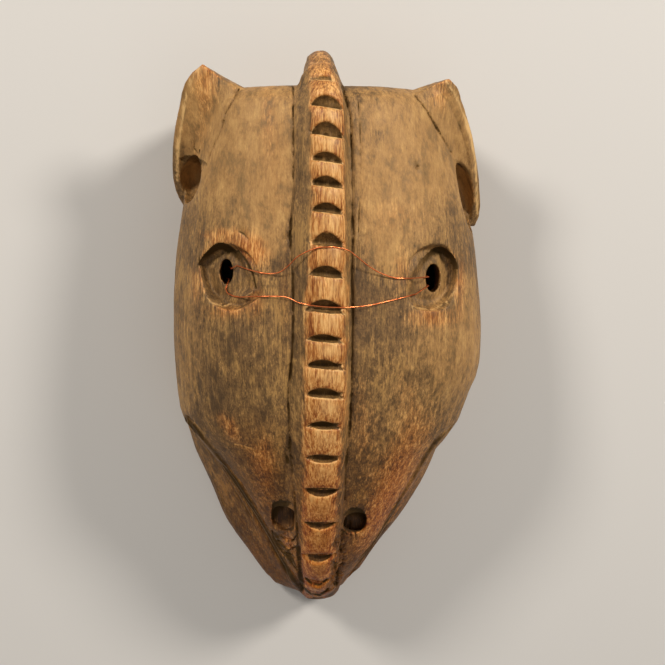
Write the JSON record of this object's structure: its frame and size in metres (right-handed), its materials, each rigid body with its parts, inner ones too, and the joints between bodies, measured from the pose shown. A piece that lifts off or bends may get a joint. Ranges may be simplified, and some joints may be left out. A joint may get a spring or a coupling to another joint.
{
  "type": "armadillo dance mask",
  "caption": "Hollow wooden face mask of an armadillo with a notched crest, cupped ears, pierced eyes and a copper hanging wire.",
  "frame": {"origin": "on the resting plane of the back rim, in the middle of the mask's length and width", "axes": "+Z out of the face, +Y towards the crown, +X to the right of someone who looks down on the face with the crown away from them"},
  "size_m": [0.1604, 0.2889, 0.1195],
  "materials": {
    "carved_wood": "worn, smoke-darkened patina over bare orange-brown wood",
    "copper_wire": "bright drawn copper"
  },
  "bodies": {
    "root": {"mask": "carved_wood", "hanging_wire": "copper_wire"}
  },
  "joints": []
}
